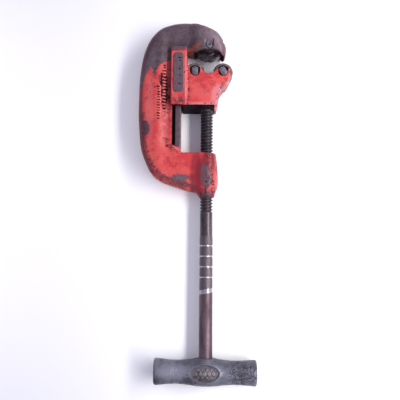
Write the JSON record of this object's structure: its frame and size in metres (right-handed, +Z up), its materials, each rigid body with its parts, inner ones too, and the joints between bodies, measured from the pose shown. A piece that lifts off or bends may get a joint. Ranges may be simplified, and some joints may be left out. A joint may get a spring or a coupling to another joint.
{
  "type": "pipe cutter",
  "caption": "Heavy-duty pipe cutter: C-frame with forked hook and cutter wheel, roller housing sliding on a rail, feed screw and T-handle.",
  "frame": {"origin": "middle of the tool's footprint, on the surface that it lies on", "axes": "+Y along the feed screw towards the hook, +X from the frame's spine to its open side, +Z up from the rest surface"},
  "size_m": [0.1594, 0.489, 0.0366],
  "materials": {
    "painted_casting": "worn red enamel over cast iron",
    "bare_casting": "bare, pitted",
    "screw_steel": "browned, oily thread",
    "tool_steel": "dark hardened steel",
    "roller_steel": "dark hardened steel, worn",
    "pin_steel": "blued steel",
    "spring_steel": "spring steel"
  },
  "bodies": {
    "frame_body": {"frame": "painted_casting", "wheel_pin": "pin_steel", "wheel_pin_clip": "spring_steel"},
    "housing_body": {"roller_housing": "painted_casting", "roller_pin_left": "pin_steel", "roller_pin_right": "pin_steel", "roller_pin_clip_left": "spring_steel", "roller_pin_clip_right": "spring_steel", "thrust_pad": "tool_steel", "screw_pin_front": "pin_steel", "screw_pin_back": "pin_steel"},
    "screw_body": {"feed_screw": "screw_steel", "t_handle": "bare_casting", "handle_pin": "pin_steel"},
    "wheel_body": {"cutter_wheel": "tool_steel"},
    "roller_left_body": {"roller_left": "roller_steel"},
    "roller_right_body": {"roller_right": "roller_steel"}
  },
  "joints": [
    {"name": "housing_slide", "type": "slide", "parent": "frame_body", "child": "housing_body", "axis": [0, 1, 0], "range_m": [-0.0521, 0.0041]},
    {"name": "screw_turn", "type": "hinge", "parent": "housing_body", "child": "screw_body", "pos_m": [0.0127, 0.0029, 0.018], "axis": [0, 1, 0], "range_deg": [-4422, 340.2]},
    {"name": "wheel_spin", "type": "hinge", "parent": "frame_body", "child": "wheel_body", "pos_m": [0.0152, 0.2092, 0.018], "axis": [0, 0, 1], "continuous": true},
    {"name": "roller_left_spin", "type": "hinge", "parent": "housing_body", "child": "roller_left_body", "pos_m": [-0.004, 0.1719, 0.018], "axis": [0, 0, 1], "continuous": true},
    {"name": "roller_right_spin", "type": "hinge", "parent": "housing_body", "child": "roller_right_body", "pos_m": [0.0344, 0.1719, 0.018], "axis": [0, 0, 1], "continuous": true}
  ],
  "couplings": [
    {"joint": "housing_slide", "follows": "screw_turn", "m_per_rad": 0.00067376}
  ]
}
